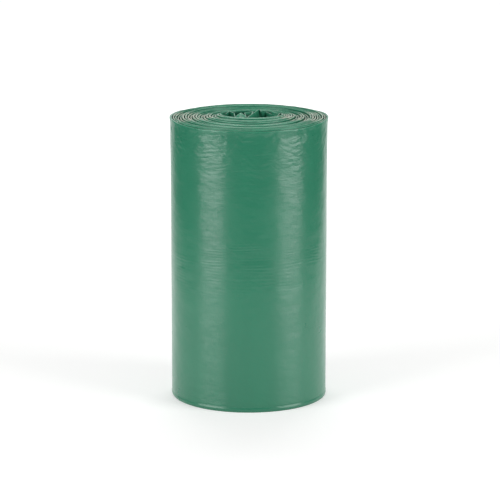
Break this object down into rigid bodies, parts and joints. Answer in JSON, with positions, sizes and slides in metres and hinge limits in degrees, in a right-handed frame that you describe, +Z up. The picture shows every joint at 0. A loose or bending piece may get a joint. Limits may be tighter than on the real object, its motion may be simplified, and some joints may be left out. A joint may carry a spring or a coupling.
{
  "type": "bin bag roll",
  "caption": "Coreless roll of folded plastic film bin bags standing on one end, with wound edges and a crumpled open middle.",
  "frame": {"origin": "on the roll's axis, at the ground it stands on", "axes": "+Z up along the roll's axis, -Y towards the front that the picture shows, +X to the right"},
  "size_m": [0.097, 0.0975, 0.177],
  "materials": {
    "green_film": "glossy polyethylene film"
  },
  "bodies": {
    "root": {"bag_roll": "green_film"}
  },
  "joints": []
}
